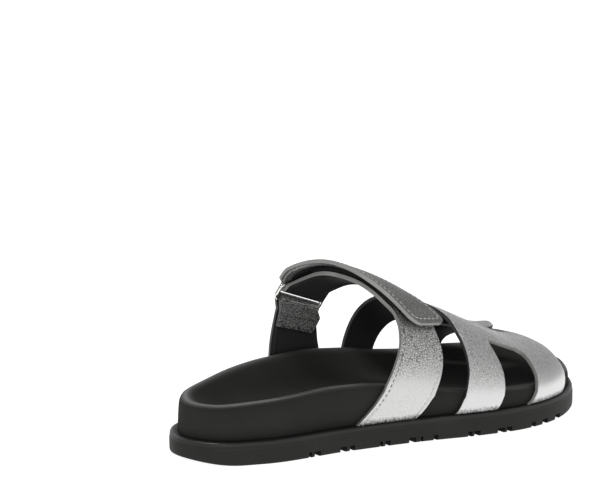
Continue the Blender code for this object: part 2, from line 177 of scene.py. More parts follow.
# %% Light
LIGHTS = [
    # name, watts, size across, size up, place, aimed at
    ("front_panel", 6.0, 1.4, 0.8, (-1.2, -1.5, 1.0), (0.0, 0.0, 0.03)),
    ("right_panel", 0.6, 2.4, 1.6, (2.0, -1.6, 1.0), (0.05, 0.0, 0.03)),
    ("back_panel", 2.0, 1.6, 0.8, (0.3, 1.8, 0.9), (0.0, 0.0, 0.03)),
    ("top_panel", 10.0, 1.2, 0.25, (0.1, 0.5, 1.6), (0.0, 0.0, 0.03)),
]


def make_light(name, watts, size_across, size_up, place, target):
    data = bpy.data.lights.new(name, "AREA")
    data.energy = watts
    data.shape = "RECTANGLE"
    data.size = size_across
    data.size_y = size_up
    light = new_object(name, data)
    light.location = place
    light.rotation_euler = (Vector(target) - Vector(place)).to_track_quat("-Z", "Y").to_euler()


for row in LIGHTS:
    make_light(*row)
print("lights:", len(LIGHTS))

# %% Sky
BRIGHT_SIDE = (0.6, -0.8, 0.0)
SIDE_TONE = {"From Min": -0.5, "From Max": 1.0, "To Min": 0.8, "To Max": 1.2}
HEIGHT_TONE = {"From Min": 0.0, "From Max": 1.0, "To Min": 0.55, "To Max": 0.2}


def make_sky():
    """White all round, a little brighter on one side and dimmer towards the ceiling."""
    world = bpy.data.worlds.new("studio")
    world.use_nodes = True
    bpy.context.scene.world = world
    node = partial(add_node, world)
    way = node("ShaderNodeTexCoord").outputs["Generated"]
    side = node("ShaderNodeVectorMath", {"operation": "DOT_PRODUCT"}, {1: BRIGHT_SIDE}, {0: way})
    axes = node("ShaderNodeSeparateXYZ", links={"Vector": way})
    side_tone = node("ShaderNodeMapRange", sockets=SIDE_TONE, links={"Value": side.outputs["Value"]})
    height_tone = node("ShaderNodeMapRange", sockets=HEIGHT_TONE, links={"Value": axes.outputs["Z"]})
    both = {0: side_tone.outputs["Result"], 1: height_tone.outputs["Result"]}
    strength = node("ShaderNodeMath", {"operation": "MULTIPLY"}, links=both)
    sky = world.node_tree.nodes["Background"]
    sky.inputs["Color"].default_value = srgb("ffffff")
    world.node_tree.links.new(strength.outputs[0], sky.inputs["Strength"])
    print("sky:", world.name)


make_sky()
bpy.context.scene.view_settings.view_transform = "Standard"

# %% [markdown]
# ## The last
# A shoemaker forms every piece round a last. Here the last is a few short tables: the outline of the
# outsole, the rim and hollow of the footbed, and the line of the instep. Curves are drawn through the
# tables, and every piece is charted on them, so that pieces meet with an even gap.

# %% Tables of the last
CLEARANCE = 0.3
LEDGE_WIDTH = 4.4
TOE_LEDGE = 2.2
FOREFOOT_RIM = 0.5
LEDGE_HEIGHT = 12.2
LEATHER = 2.2
RIM_ROUNDING = 3.0
WALL_GIRTH = 0.75
BAND_FOOT = LEDGE_HEIGHT + CLEARANCE

OUTLINE = [
    # place, along, across
    ("heel back", 0.0, -1.0),
    ("heel lateral corner", 9.5, -23.5),
    ("heel lateral side", 32.0, -34.0),
    ("lateral waist", 82.0, -37.4),
    ("lateral midfoot", 128.0, -43.4),
    ("lateral ball rear", 163.0, -51.0),
    ("lateral ball", 188.0, -53.0),
    ("lateral toe", 222.0, -42.5),
    ("outer toe tip", 246.0, -22.5),
    ("toe tip", 261.0, 8.0),
    ("big toe", 256.0, 35.0),
    ("medial toe", 236.0, 50.0),
    ("medial ball", 205.0, 54.2),
    ("medial ball rear", 170.0, 49.3),
    ("medial waist", 128.0, 37.6),
    ("medial arch", 96.0, 33.8),
    ("heel medial side", 45.0, 36.6),
    ("heel medial corner", 12.5, 24.6),
]

FOOTBED = [
    # along, lateral rim, medial rim, hollow
    (0.0, 29.4, 29.8, 26.0),
    (25.0, 31.0, 32.2, 24.0),
    (50.0, 32.4, 36.6, 24.0),
    (75.0, 33.6, 40.6, 26.0),
    (95.0, 33.2, 42.0, 28.0),
    (120.0, 29.8, 39.6, 27.0),
    (150.0, 24.8, 33.6, 22.6),
    (180.0, 22.6, 29.0, 19.8),
    (210.0, 21.2, 27.4, 18.6),
    (225.0, 21.6, 26.2, 18.4),
    (240.0, 20.9, 25.8, 18.2),
    (262.0, 20.2, 20.2, 18.0),
]

LAST = [
    # along, crest height, crest across, lateral fullness, medial fullness
    (60.0, 98.0, 8.0, 2.2, 2.2),
    (82.0, 91.0, 8.0, 2.2, 2.2),
    (104.0, 84.0, 8.0, 2.2, 2.2),
    (120.0, 79.0, 8.0, 2.2, 2.2),
    (135.0, 72.5, 7.0, 2.2, 2.2),
    (150.0, 66.0, 6.0, 2.2, 2.2),
    (165.0, 60.0, 6.0, 2.2, 2.2),
    (180.0, 53.0, 8.0, 2.2, 2.2),
    (195.0, 45.8, 8.0, 2.1, 2.2),
    (210.0, 39.8, 9.0, 2.0, 2.3),
    (225.0, 36.3, 10.0, 2.0, 2.4),
    (240.0, 30.2, 11.0, 2.1, 2.4),
    (256.0, 22.0, 12.0, 2.2, 2.4),
]
print("outline places:", len(OUTLINE), "sections of the last:", len(LAST))


# %% Curves through the tables
def smooth(places, values, limited=True):
    """Smooth curve through a column of values. A limited one never overshoots its points."""
    places = np.asarray(places, float)
    values = np.asarray(values, float)
    rise = np.diff(values) / np.diff(places)
    slope = np.gradient(values, places)
    if limited:
        same = rise[:-1] * rise[1:] > 0
        total = np.where(same, rise[:-1] + rise[1:], 1.0)
        slope[1:-1] = np.where(same, 2 * rise[:-1] * rise[1:] / total, 0.0)

    def value(at):
        at = np.clip(at, places[0], places[-1])
        i = np.clip(np.searchsorted(places, at, "right") - 1, 0, len(places) - 2)
        step = places[i + 1] - places[i]
        t = (at - places[i]) / step
        start = (1 + 2 * t) * (1 - t) ** 2 * values[i] + t * (1 - t) ** 2 * step * slope[i]
        end = t * t * (3 - 2 * t) * values[i + 1] - t * t * (1 - t) * step * slope[i + 1]
        return start + end

    return value


def columns(table):
    """A smooth curve for each column of a table after its first."""
    numbers = np.array(table)
    return [smooth(numbers[:, 0], column) for column in numbers[:, 1:].T]


def closed_outline(count):
    """Points spaced evenly round the outline, anticlockwise seen from above."""
    points = np.array([row[1:] for row in OUTLINE])
    points = np.vstack([points[-3:], points, points[:4]])
    travel = np.concatenate([[0.0], np.cumsum(np.hypot(*np.diff(points, axis=0).T))])
    at = np.linspace(travel[3], travel[3 + len(OUTLINE)], count, endpoint=False)
    return np.column_stack([smooth(travel, column, False)(at) for column in points.T])


def inset(points, distance):
    """An outline moved inwards by this distance, which may differ from point to point."""
    along = np.roll(points, -1, axis=0) - np.roll(points, 1, axis=0)
    along /= np.hypot(*along.T)[:, None]
    return points + np.reshape(distance, (-1, 1)) * np.column_stack([-along[:, 1], along[:, 0]])


DENSE = closed_outline(720)
FINE_OUTLINE = closed_outline(260)
CENTRE = (DENSE.min(axis=0) + DENSE.max(axis=0)) / 2
LATERAL_RIM, MEDIAL_RIM, HOLLOW = columns(FOOTBED)
CREST_HEIGHT, CREST_ACROSS, LATERAL_FULL, MEDIAL_FULL = columns(LAST)
print("middle of the footprint, mm:", CENTRE.round(2))


# %% Points on the last
def wall_lines():
    """How far across the bands stand on the lateral and on the medial wall, against the length."""
    points = inset(DENSE, LEDGE_WIDTH - CLEARANCE)
    points = np.roll(points, -points[:, 0].argmin(), axis=0)
    tip = points[:, 0].argmax()
    return points[: tip + 1], points[tip:][::-1]


LATERAL_WALL, MEDIAL_WALL = wall_lines()


def last_point(along, girth):
    """Point on the last. Girth is -1 at the lateral foot, 0 at the top line and 1 at the medial foot."""
    wall, rim, full = LATERAL_WALL, LATERAL_RIM, LATERAL_FULL
    if girth > 0:
        wall, rim, full = MEDIAL_WALL, MEDIAL_RIM, MEDIAL_FULL
    foot = np.interp(along, wall[:, 0], wall[:, 1])
    base = rim(along) - RIM_ROUNDING
    reach = abs(girth)
    if reach > WALL_GIRTH:
        drop = (reach - WALL_GIRTH) / (1 - WALL_GIRTH)
        return np.array([along, foot, base + drop * (BAND_FOOT - base)])
    angle = math.radians(90 * reach / WALL_GIRTH)
    power = 2 / full(along)
    sideways = (foot - CREST_ACROSS(along)) * math.sin(angle) ** power
    upwards = (CREST_HEIGHT(along) - base) * max(math.cos(angle), 0.0) ** power
    return np.array([along, CREST_ACROSS(along) + sideways, base + upwards])


def unit(vector):
    return vector / np.linalg.norm(vector)


def lifted_point(along, girth, lift):
    """Point this far outside the last."""
    start = last_point(along, girth)
    if lift == 0:
        return start
    forward = last_point(along + 1, girth) - last_point(along - 1, girth)
    round_foot = last_point(along, min(girth + 0.02, 1)) - last_point(along, max(girth - 0.02, -1))
    return start + lift * unit(np.cross(forward, round_foot))


def place(points):
    """Points in metres, centred over the footprint."""
    return (np.asarray(points) - [*CENTRE, 0.0]) * MM


print("top of the instep, mm:", last_point(104.0, 0.0).round(1))


# %% Objects from meshes
def add_piece(name, mesh, materials, slot, *nodes):
    """Turns a bmesh into a smooth-shaded piece that rides on the sandal and stands for its solids."""
    piece = mesh_object(name, mesh, materials)
    piece.data.polygons.foreach_set("use_smooth", [True] * len(piece.data.polygons))
    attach(piece, "root")
    if nodes:
        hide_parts(*nodes)
    print(name, len(piece.data.polygons), "faces")
    return piece


def baked(thing):
    """Mesh of an object with its modifiers or its bevel worked in."""
    graph = bpy.context.evaluated_depsgraph_get()
    return bpy.data.meshes.new_from_object(thing.evaluated_get(graph))


def ring_stack(rings):
    """Closed skin through rings of points: a circle on the first ring is extruded from ring to ring."""
    mesh = bmesh.new()
    loop = bmesh.ops.create_circle(mesh, segments=len(rings[0]), radius=1.0)["verts"]
    first = loop
    for number, ring in enumerate(rings):
        if number:
            edges = [mesh.edges.get((loop[i - 1], loop[i])) for i in range(len(loop))]
            grown = set(bmesh.ops.extrude_edge_only(mesh, edges=edges)["geom"])
            loop = [next(e.other_vert(v) for e in v.link_edges if e.other_vert(v) in grown) for v in loop]
        for vertex, point in zip(loop, place(ring)):
            vertex.co = point
    for end in (first, loop):
        edges = [mesh.edges.get((end[i - 1], end[i])) for i in range(len(end))]
        bmesh.ops.triangle_fill(mesh, edges=edges, use_beauty=True)
    bmesh.ops.recalc_face_normals(mesh, faces=mesh.faces)
    return mesh


def mark_shine(piece, values):
    """Stores on each ring of a stacked skin, counted from the first, how far a polished rim reaches it."""
    count = len(FINE_OUTLINE)
    shine = np.zeros(len(piece.data.vertices))
    for ring, value in enumerate(values):
        shine[ring * count : (ring + 1) * count] = value
    piece.data.attributes.new("shine", "FLOAT", "POINT").data.foreach_set("value", shine)
    print("rings with shine:", sum(value > 0 for value in values))


def between_rows(table, steps):
    """Rows of a table with this many smooth steps from each row to the next."""
    numbers = np.array(table)
    rows = np.arange(len(numbers))
    at = np.linspace(0, len(numbers) - 1, (len(numbers) - 1) * steps + 1)
    return np.column_stack([smooth(rows, column)(at) for column in numbers.T])


print("points in a ring:", len(FINE_OUTLINE))

# %% [markdown]
# ## Outsole
# The outsole is moulded from black rubber: a flat slab with a rounded lip, a fine parting line below the
# lip, a bevel behind the heel, a little toe spring, and notches where the lugs of the tread reach its edge.
# The slab is a stack of rings. The notches are boxes taken away with a Boolean, and their faces take a
# near-black copy of the rubber as painted shade. Rubber is dull, but the lip is rubbed smooth in use, so each
# ring stores how much it shines.

# %% Rubber
RELIEF = 0.2


def emboss(material, shader, pattern, strength):
    """Shallow relief from a pattern."""
    relief = {"Strength": strength, "Distance": RELIEF * MM}
    bump = add_node(material, "ShaderNodeBump", sockets=relief, links={"Height": pattern})
    material.node_tree.links.new(bump.outputs["Normal"], shader.inputs["Normal"])


def polish_rim(material, shader, gloss, rough):
    """Gloss and roughness that go from their first to their second value as the shine goes from 0 to 1."""
    shine = add_node(material, "ShaderNodeAttribute", {"attribute_name": "shine"})
    for socket, (plain, polished) in (("Specular IOR Level", gloss), ("Roughness", rough)):
        ends = {"To Min": plain, "To Max": polished}
        blend = add_node(material, "ShaderNodeMapRange", sockets=ends, links={"Value": shine.outputs["Fac"]})
        material.node_tree.links.new(blend.outputs["Result"], shader.inputs[socket])


def moulded_rubber(name, low, high):
    """Black moulded rubber: a dull skin with a faint cloudy bloom and fine pits from the mould."""
    material, shader = new_material(name, {"IOR": 1.52})
    # Bloom in patches of about 17 mm, and pits of about 0.5 mm
    two_tones(material, shader, low, high, cloud(material, 60.0, 4.0))
    emboss(material, shader, cloud(material, 2000.0), 0.25)
    polish_rim(material, shader, (0.1, 0.6), (0.6, 0.36))
    return material


rubber = moulded_rubber("moulded_rubber", "272726", "323230")
# Painted shade: a near-black copy of the rubber for the faces inside the notches, where shade falls
groove_shade_rubber = moulded_rubber("groove_shade_rubber", "070707", "0b0b0b")
rubbers = [rubber, groove_shade_rubber]
print("rubbers:", rubber.name, groove_shade_rubber.name)

# %% Outsole slab
TOE_SPRING = 1.6
SPRING_START = 205.0
HEEL_BEVEL = 2.6
HEEL_BEVEL_LENGTH = 22.0

OUTSOLE_SIDE = [
    # inset, share of the height, drop below the lip
    (16.0, 0.0, 0.0),
    (5.0, 0.0, 0.0),
    (1.2, 0.0, 0.0),
    (0.5, 0.0, -0.25),
    (0.15, 0.0, -0.8),
    (0.05, 0.0, -1.8),
    (0.0, 1.0, 5.0),
    (0.0, 1.0, 3.7),
    (0.04, 1.0, 3.4),
    (0.2, 1.0, 3.15),
    (0.26, 1.0, 2.9),
    (0.26, 1.0, 1.7),
    (0.36, 1.0, 1.1),
    (0.62, 1.0, 0.55),
    (1.1, 1.0, 0.2),
    (1.9, 1.0, 0.02),
    (3.0, 1.0, 0.0),
    (7.0, 1.0, 0.0),
    (16.0, 1.0, 0.0),
]
LIP_SHINE = [0.0] * 8 + [0.35, 0.35, 0.0, 0.2, 0.6, 1.0, 1.0, 0.7, 0.3]


def underside(along):
    """Height of the tread: flat, bevelled up behind the heel and sprung up under the toes."""
    heel = np.clip(1 - along / HEEL_BEVEL_LENGTH, 0, 1)
    toe = np.clip((along - SPRING_START) / (DENSE[:, 0].max() - SPRING_START), 0, 1)
    return HEEL_BEVEL * heel**1.8 + TOE_SPRING * toe**2


def outsole_rings():
    rings = []
    for distance, share, drop in OUTSOLE_SIDE:
        flat = inset(FINE_OUTLINE, distance)
        low = underside(flat[:, 0])
        rings.append(np.column_stack([flat, low + share * (LEDGE_HEIGHT - low) - drop]))
    return rings


outsole = add_piece("rubber_outsole", ring_stack(outsole_rings()), rubbers, "outsole", "outsole")
mark_shine(outsole, LIP_SHINE)

# %% Notches of the tread
LUG_DEPTH = 3.0
LUG_REACH = 5.0
BOX_OUT = 20.0
BOX_BELOW = 2.0
SHARP_ANGLE = math.radians(42)
LUG_GROOVES = [
    # along, width
    (59.0, 2.0),
    (63.5, 3.8),
    (79.7, 3.8),
    (85.0, 3.1),
    (102.3, 1.6),
    (106.2, 3.0),
    (120.8, 4.0),
    (126.2, 1.4),
    (134.3, 2.4),
    (153.7, 2.3),
    (157.8, 3.5),
    (172.4, 4.4),
    (177.5, 3.2),
    (194.5, 3.1),
    (204.3, 4.6),
    (216.7, 5.0),
]


def cut_notches(piece):
    """Takes the grooves between the lugs out of both edges, and bakes the cut into the mesh."""
    mesh = bmesh.new()
    for along, width in LUG_GROOVES:
        for wall, side in ((LATERAL_WALL, -1), (MEDIAL_WALL, 1)):
            edge = np.interp(along, wall[:, 0], wall[:, 1])
            middle = place([along, edge + side * (BOX_OUT - LUG_REACH) / 2, (LUG_DEPTH - BOX_BELOW) / 2])
            size = (width * MM, (BOX_OUT + LUG_REACH) * MM, (LUG_DEPTH + BOX_BELOW) * MM, 1.0)
            bmesh.ops.create_cube(mesh, size=1.0, matrix=Matrix.Translation(middle) @ Matrix.Diagonal(size))
    boxes = mesh_object("notch_boxes", mesh, rubbers)
    # The cut faces take the near-black rubber, painted shade inside the notches
    groove_shade_slot = rubbers.index(groove_shade_rubber)
    boxes.data.polygons.foreach_set("material_index", [groove_shade_slot] * len(boxes.data.polygons))
    cut = piece.modifiers.new("notches", "BOOLEAN")
    cut.object = boxes
    cut.solver = "EXACT"
    cut_mesh = baked(piece)
    piece.modifiers.clear()
    piece.data = cut_mesh
    piece.data.set_sharp_from_angle(angle=SHARP_ANGLE)
    bpy.data.objects.remove(boxes)
    print("notches:", 2 * len(LUG_GROOVES), "faces now:", len(cut_mesh.polygons))


cut_notches(outsole)

# %% [markdown]
# ## Footbed
# The footbed is a moulded core in a matt black cover, with a soft rounded rim, a heel cup and an arch on
# the medial side. Its rings climb the wall, turn over the rim and run down into the hollow. Handling
# polishes the rim, so only there does the cover mirror a lamp.

# %% Footbed cover
def matt_cover():
    """Black microfibre: it scatters light, so it stays dull, with a faint velvet sheen at grazing angles."""
    material, shader = new_material("black_microfibre", {"Sheen Weight": 0.04, "Sheen Roughness": 0.5})
    # Tones in patches of about 22 mm, and a nap of about 0.4 mm
    two_tones(material, shader, "2c2c2b", "363634", cloud(material, 45.0, 3.0))
    emboss(material, shader, cloud(material, 2500.0), 0.2)
    polish_rim(material, shader, (0.0, 0.9), (0.7, 0.34))
    return material


cover = matt_cover()
print("cover:", cover.name)

# %% Footbed shape
FOOT_INSET = 12.0
LEDGE_NARROWS = (231.0, 246.0)
RIM_TIGHTENS = (110.0, 190.0)
SIDE_BLEND = 9.0
FOOTBED_RIM = [
    # inset from the wall, drop below the rim
    (0.6, 7.0),
    (1.0, 3.4),
    (1.9, 1.4),
    (3.4, 0.3),
    (5.4, 0.0),
]
FOOTBED_BOWL = [
    # share of the way in, share of the hollow's depth
    (0.0, 0.0),
    (0.12, 0.14),
    (0.28, 0.42),
    (0.48, 0.74),
    (0.70, 0.94),
    (0.88, 1.00),
]
SPINE = [
    # along, across
    (36.0, 1.0),
    (110.0, -1.0),
    (212.0, 4.0),
]
RIM_SHINE = [0.0] * 8 + [0.1, 0.3, 0.6, 0.9, 1.0, 1.0, 0.8, 0.45, 0.2, 0.05]


def footbed_rings():
    ledge = np.interp(FINE_OUTLINE[:, 0], LEDGE_NARROWS, [LEDGE_WIDTH, TOE_LEDGE])
    outline = inset(FINE_OUTLINE, ledge)
    medial = np.clip((outline[:, 1] + SIDE_BLEND) / (2 * SIDE_BLEND), 0, 1)
    medial = medial * medial * (3 - 2 * medial)
    lateral_rim, medial_rim = LATERAL_RIM(outline[:, 0]), MEDIAL_RIM(outline[:, 0])
    rim = lateral_rim + medial * (medial_rim - lateral_rim)
    foot = np.full(len(rim), BAND_FOOT)
    rings = [np.column_stack([inset(outline, FOOT_INSET), foot]), np.column_stack([outline, foot])]
    softness = np.interp(outline[:, 0], RIM_TIGHTENS, [1.0, FOREFOOT_RIM])
    for distance, drop in between_rows(FOOTBED_RIM, 3):
        rings.append(np.column_stack([inset(outline, distance * softness), rim - drop]))
    edge = rings[-1]
    spine = edge.copy()
    spine_along, spine_across = np.array(SPINE).T
    spine[:, 0] = np.clip(edge[:, 0], spine_along[0], spine_along[-1])
    spine[:, 1] = np.interp(spine[:, 0], spine_along, spine_across)
    for share, depth in between_rows(FOOTBED_BOWL, 3)[1:]:
        ring = edge + share * (spine - edge)
        ring[:, 2] = rim + depth * (HOLLOW(ring[:, 0]) - rim)
        rings.append(ring)
    return rings


footbed = add_piece("covered_footbed", ring_stack(footbed_rings()), [cover], "footbed", "footbed")
mark_shine(footbed, RIM_SHINE)

# %% [markdown]
# ## Leather
# The bands are grained leather with a silver foil pressed over it. The foil bends over every pebble of the
# grain, so each pebble mirrors another part of the studio and the surface sparkles. The front bands have a
# finer grain than the strap, and the flap and the tab take darker copies of the foil as painted shade. Low
# down, where a band is pulled round the wall, the grain is pressed flat, and at the very foot painted shade
# darkens the foil where it tucks in behind the lip. The cut edges are painted grey, paler round the cut-outs
# and on the strap, and the side towards the foot is lined in black. One material per finish and per painted
# shade keeps this clear.

# %% Silver leather
FOIL = {"Roughness": 0.34, "Metallic": 0.92}
GROOVE_SHARE = 0.17
FLAT_GRAIN = 0.12
FLAT_FADE = 12.0
FLAT_HEIGHT = 0.8
EVEN_TONE = 0.5
# Painted shade at the foot of each band, where it tucks in behind the outsole's lip
TUCK_SHADE_TONE = "363635"
TUCK_SHADE_FROM = 14.6
TUCK_SHADE_TO = 17.2
TUCK_SHADE_RAGGED = 4.0


def foil_leather(name, low, high, groove, pebble_mm, depth, flat_below_mm):
    """Foil on grained leather: metallic, half glossy, with speckled pebbles and duller grooves."""
    material, shader = new_material(name, FOIL)
    node = partial(add_node, material)
    spot = {"Vector": node("ShaderNodeTexCoord").outputs["Object"]}
    height = node("ShaderNodeSeparateXYZ", links=spot).outputs["Z"]
    # The pebbles are about 0.8 mm wide, and are drawn a little coarser so that they show at this picture size
    cells = {"Scale": 1000.0 / pebble_mm}
    pebbles = node("ShaderNodeTexVoronoi", {"feature": "DISTANCE_TO_EDGE"}, cells, spot)
    inside = {"Value": pebbles.outputs["Distance"]}
    rounded = {"interpolation_type": "SMOOTHSTEP"}
    dome = node("ShaderNodeMapRange", rounded, {"From Max": GROOVE_SHARE}, inside)
    # Where a band is pulled tight round the wall its grain and its speckle fade
    fade = {"From Min": flat_below_mm * MM, "From Max": (flat_below_mm + FLAT_FADE) * MM}
    fade["To Min"] = FLAT_GRAIN
    loose = node("ShaderNodeMapRange", sockets=fade, links={"Value": height}).outputs["Result"]
    grain_links = {"Factor": loose, "B": dome.outputs["Result"]}
    grain = node("ShaderNodeMix", sockets={"A": FLAT_HEIGHT}, links=grain_links).outputs["Result"]
    # Speckle of about 1 mm
    speckle = node("ShaderNodeTexNoise", sockets={"Scale": 1000.0, "Detail": 3.0}, links=spot).outputs["Fac"]
    spread = node("ShaderNodeMapRange", sockets={"From Min": 0.2, "From Max": 0.8}, links={"Value": speckle})
    even_links = {"Factor": loose, "B": spread.outputs["Result"]}
    even = node("ShaderNodeMix", sockets={"A": EVEN_TONE}, links=even_links).outputs["Result"]
    foil = node("ShaderNodeMix", COLOUR, {"A": srgb(low), "B": srgb(high)}, {"Factor": even})
    worn_links = {"Factor": grain, "B": foil.outputs["Result"]}
    worn = node("ShaderNodeMix", COLOUR, {"A": srgb(groove)}, worn_links)
    # Painted shade: the foil is painted darker, with a ragged top, low down where a band tucks in behind the
    # outsole's lip
    ragged_links = {0: speckle, 2: height}
    ragged = node("ShaderNodeMath", {"operation": "MULTIPLY_ADD"}, {1: TUCK_SHADE_RAGGED * MM}, ragged_links)
    tuck_shade_range = {"From Min": TUCK_SHADE_FROM * MM, "From Max": TUCK_SHADE_TO * MM}
    unshaded = node("ShaderNodeMapRange", sockets=tuck_shade_range, links={"Value": ragged.outputs["Value"]})
    tuck_shade_links = {"Factor": unshaded.outputs["Result"], "B": worn.outputs["Result"]}
    tuck_shaded = node("ShaderNodeMix", COLOUR, {"A": srgb(TUCK_SHADE_TONE)}, tuck_shade_links)
    domes = {"Strength": depth, "Distance": 0.3 * MM}
    relief = node("ShaderNodeBump", sockets=domes, links={"Height": grain})
    fine_links = {"Height": speckle, "Normal": relief.outputs["Normal"]}
    fine = node("ShaderNodeBump", sockets={"Strength": 0.15, "Distance": 0.1 * MM}, links=fine_links)
    material.node_tree.links.new(tuck_shaded.outputs["Result"], shader.inputs["Base Color"])
    material.node_tree.links.new(fine.outputs["Normal"], shader.inputs["Normal"])
    return material


silver = foil_leather("silver_foil_leather", "c4c4c3", "fafaf8", "6e6e6d", 1.3, 0.6, 33.0)
fine_silver = foil_leather("fine_silver_foil_leather", "bcbcbb", "ffffff", "a4a4a3", 1.0, 0.5, 22.0)
# Painted shade: the flap and the tab are the same foil leather, given darker copies that stand in for the
# shade and dark reflections on them
shaded_flap_silver = foil_leather("shaded_flap_foil_leather", "828281", "bcbcba", "666665", 1.0, 0.5, 0.0)
shaded_tab_silver = foil_leather("shaded_tab_foil_leather", "80807f", "e4e4e2", "464645", 1.3, 0.7, 0.0)
print("foils:", silver.name, fine_silver.name, shaded_flap_silver.name, shaded_tab_silver.name)


# %% Lining and edge paint
def grained_skin(name, low, high, rough, grain_mm, depth):
    """Plain finished leather, paint or pile: two close tones and a fine grain that breaks up the light."""
    material, shader = new_material(name, {"Roughness": rough})
    grain = cloud(material, 1000.0 / grain_mm)
    two_tones(material, shader, low, high, grain)
    emboss(material, shader, grain, depth)
    return material


lining = grained_skin("black_lining_leather", "0e0e0e", "181817", 0.7, 0.7, 0.2)
dark_paint = grained_skin("dark_edge_paint", "2b2b2a", "3c3c3b", 0.4, 0.5, 0.12)
pale_paint = grained_skin("pale_edge_paint", "7b7b79", "9a9a97", 0.32, 0.5, 0.12)
bead_paint = grained_skin("bright_edge_paint", "90908e", "acaca9", 0.3, 0.5, 0.12)
print("lining and paints:", lining.name, dark_paint.name, pale_paint.name, bead_paint.name)


# %% A sheet of leather
EDGE_ROUNDING = 0.5
EDGE_ANGLE = math.radians(50)


def leather_sheet(rows, kept=None, slot_of=None):
    """A grid laid over rows of points. Faces that are not kept are cut out, and slots go by place."""
    count, across = rows.shape[:2]
    mesh = bmesh.new()
    bmesh.ops.create_grid(mesh, x_segments=across - 1, y_segments=count - 1, size=1.0)
    cell = {}
    for vertex in mesh.verts:
        row = round((vertex.co.y + 1) / 2 * (count - 1))
        column = round((vertex.co.x + 1) / 2 * (across - 1))
        cell[vertex] = (row, column)
    dropped = []
    for face in mesh.faces:
        row, column = [min(cell[vertex][k] for vertex in face.verts) for k in (0, 1)]
        if kept and not kept(row, column):
            dropped.append(face)
        if slot_of:
            face.material_index = slot_of(row, column)
    placed = place(rows)
    for vertex, (row, column) in cell.items():
        vertex.co = placed[row, column]
    bmesh.ops.delete(mesh, geom=dropped, context="FACES")
    return mesh


def thicken(piece):
    """Leather thickness, with the cut edges painted and a little rounded."""
    wall = piece.modifiers.new("leather", "SOLIDIFY")
    wall.thickness = LEATHER * MM
    wall.offset = 1.0
    wall.use_even_offset = True
    # The sheet's far side takes the next slot, and its cut edge the one after
    wall.material_offset = 1
    wall.material_offset_rim = 2
    soft = piece.modifiers.new("soft_edges", "BEVEL")
    soft.width = EDGE_ROUNDING * MM
    soft.segments = 3
    soft.limit_method = "ANGLE"
    soft.angle_limit = EDGE_ANGLE


print("leather, mm:", LEATHER)

# %% [markdown]
# ## Front upper
# A middle band and a toe band are cut from one skin and joined over the foot, with a cut-out on each side.
# The skin is charted by girth, with its four edges in a table, and the faces of the cut-outs are dropped.
# Worn leather bends at the ball, so a soft trough lies between the bands and a low ridge over the toes.

# %% Front upper
FRONT_UPPER = [
    # girth, middle rear, middle front, toe rear, toe front, lift of the middle front
    (-1.00, 146.6, 171.3, 191.8, 224.3, 0.0),
    (-0.93, 149.0, 173.1, 195.1, 227.0, 0.0),
    (-0.85, 150.6, 174.5, 197.1, 228.8, 0.0),
    (-0.78, 151.9, 175.4, 198.3, 229.2, 0.0),
    (-0.70, 154.0, 176.4, 199.6, 229.4, 0.0),
    (-0.60, 156.0, 176.6, 200.9, 229.9, 0.0),
    (-0.50, 156.7, 175.8, 201.5, 230.4, 0.0),
    (-0.43, 156.9, 175.4, 201.6, 231.2, 0.0),
    (-0.39, 157.0, 175.7, 200.8, 231.8, 0.0),
    (-0.36, 157.2, 176.4, 197.5, 232.3, 0.0),
    (-0.20, 159.0, 188.0, 204.0, 236.0, 0.0),
    (0.00, 154.6, 206.0, 226.0, 239.5, 0.6),
    (0.06, 151.9, 219.0, 231.0, 240.0, 3.2),
    (0.10, 149.9, 219.0, 230.5, 239.3, 4.2),
    (0.16, 147.1, 213.0, 224.0, 237.0, 2.8),
    (0.22, 144.6, 204.0, 212.0, 232.5, 1.0),
    (0.30, 141.9, 190.0, 198.0, 225.0, 0.2),
    (0.37, 139.8, 175.4, 192.5, 218.8, 0.0),
    (0.45, 137.5, 167.0, 189.5, 214.0, 0.0),
    (0.55, 134.8, 161.8, 186.8, 211.2, 0.0),
    (0.65, 132.1, 157.6, 184.0, 209.6, 0.0),
    (0.75, 129.4, 154.0, 181.2, 208.4, 0.0),
    (0.87, 126.4, 150.5, 178.4, 206.8, 0.0),
    (1.00, 123.5, 147.5, 176.0, 205.0, 0.0),
]
LATERAL_CUT = -0.36
MEDIAL_CUT = 0.02
CUT_SLOT = 3
CURL_REACH = 0.8
CREASES = [
    # along, girth, reach along, reach of girth, height
    (220.0, -0.04, 12.0, 0.20, -1.2),
    (231.5, 0.00, 7.0, 0.30, 0.5),
]


def crease(along, girth):
    """Height of the soft trough between the bands and of the ridge over the toes."""
    height = 0.0
    for middle, girth_middle, reach, girth_reach, most in CREASES:
        away = ((along - middle) / reach) ** 2 + ((girth - girth_middle) / girth_reach) ** 2
        height += most * max(1 - away, 0.0) ** 2
    return height


